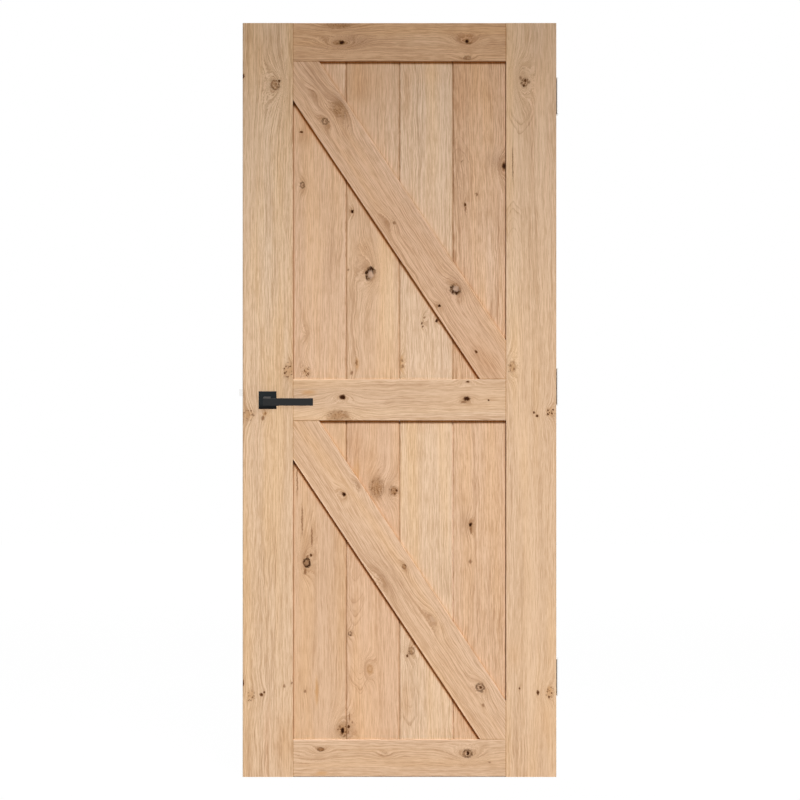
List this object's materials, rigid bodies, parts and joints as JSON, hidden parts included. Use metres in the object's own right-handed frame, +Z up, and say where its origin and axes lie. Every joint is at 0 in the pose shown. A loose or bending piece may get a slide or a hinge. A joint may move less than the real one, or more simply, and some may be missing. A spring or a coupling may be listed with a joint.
{
  "type": "interior door",
  "caption": "Oak interior door leaf with stiles, rails, vertical boards and diagonal braces, a sprung lever latch and butt hinges for hanging in a door frame.",
  "frame": {"origin": "middle of the leaf's width and thickness, on its bottom edge", "axes": "+X to the right across the front face, from lock edge to hinge edge, +Y from the front face to the back face, +Z up"},
  "size_m": [0.8995, 0.156, 2.115],
  "materials": {
    "oak_frame": "satin",
    "oak_boards": "satin",
    "satin_steel": "satin",
    "black_finish": "matte"
  },
  "bodies": {
    "hinge_frame_halves": {"top_hinge_frame_plate": "satin_steel", "middle_hinge_frame_plate": "satin_steel", "bottom_hinge_frame_plate": "satin_steel", "top_hinge_pin": "satin_steel", "middle_hinge_pin": "satin_steel", "bottom_hinge_pin": "satin_steel", "top_hinge_rings": "satin_steel", "middle_hinge_rings": "satin_steel", "bottom_hinge_rings": "satin_steel"},
    "leaf": {"lock_stile": "oak_frame", "hinge_stile": "oak_frame", "top_rail": "oak_frame", "middle_rail": "oak_frame", "bottom_rail": "oak_frame", "rail_dowels": "oak_frame", "upper_board_1": "oak_boards", "upper_board_2": "oak_boards", "upper_board_3": "oak_boards", "upper_board_4": "oak_boards", "lower_board_1": "oak_boards", "lower_board_2": "oak_boards", "lower_board_3": "oak_boards", "lower_board_4": "oak_boards", "front_upper_brace": "oak_frame", "front_lower_brace": "oak_frame", "back_upper_brace": "oak_frame", "back_lower_brace": "oak_frame", "forend": "satin_steel", "forend_screws": "satin_steel", "lock_case": "satin_steel", "lock_cover": "satin_steel", "cover_screws": "satin_steel", "latch_spring": "satin_steel", "front_rose": "black_finish", "back_rose": "black_finish", "front_rose_base": "satin_steel", "back_rose_base": "satin_steel", "rose_bolts": "satin_steel", "top_hinge_door_plate": "satin_steel", "middle_hinge_door_plate": "satin_steel", "bottom_hinge_door_plate": "satin_steel", "hinge_screws": "satin_steel"},
    "lever": {"front_lever": "black_finish", "back_lever": "black_finish", "spindle": "satin_steel", "follower": "satin_steel", "grub_screws": "satin_steel"},
    "latch": {"latch_bolt": "satin_steel"}
  },
  "joints": [
    {"name": "door_swing", "type": "hinge", "parent": "hinge_frame_halves", "child": "leaf", "pos_m": [0.4415, 0.0275, 1.095], "axis": [0, 0, -1], "range_deg": [0, 170]},
    {"name": "lever_turn", "type": "hinge", "parent": "leaf", "child": "lever", "pos_m": [-0.37, 0, 1.057], "axis": [0, 1, 0], "range_deg": [0, 35], "stiffness_Nm_per_rad": 2, "springref_deg": -20.05},
    {"name": "latch_slide", "type": "slide", "parent": "leaf", "child": "latch", "axis": [1, 0, 0], "range_m": [0, 0.011], "deforming": ["latch_spring"]}
  ],
  "couplings": [
    {"joint": "latch_slide", "follows": "lever_turn", "m_per_rad": 0.017843}
  ]
}
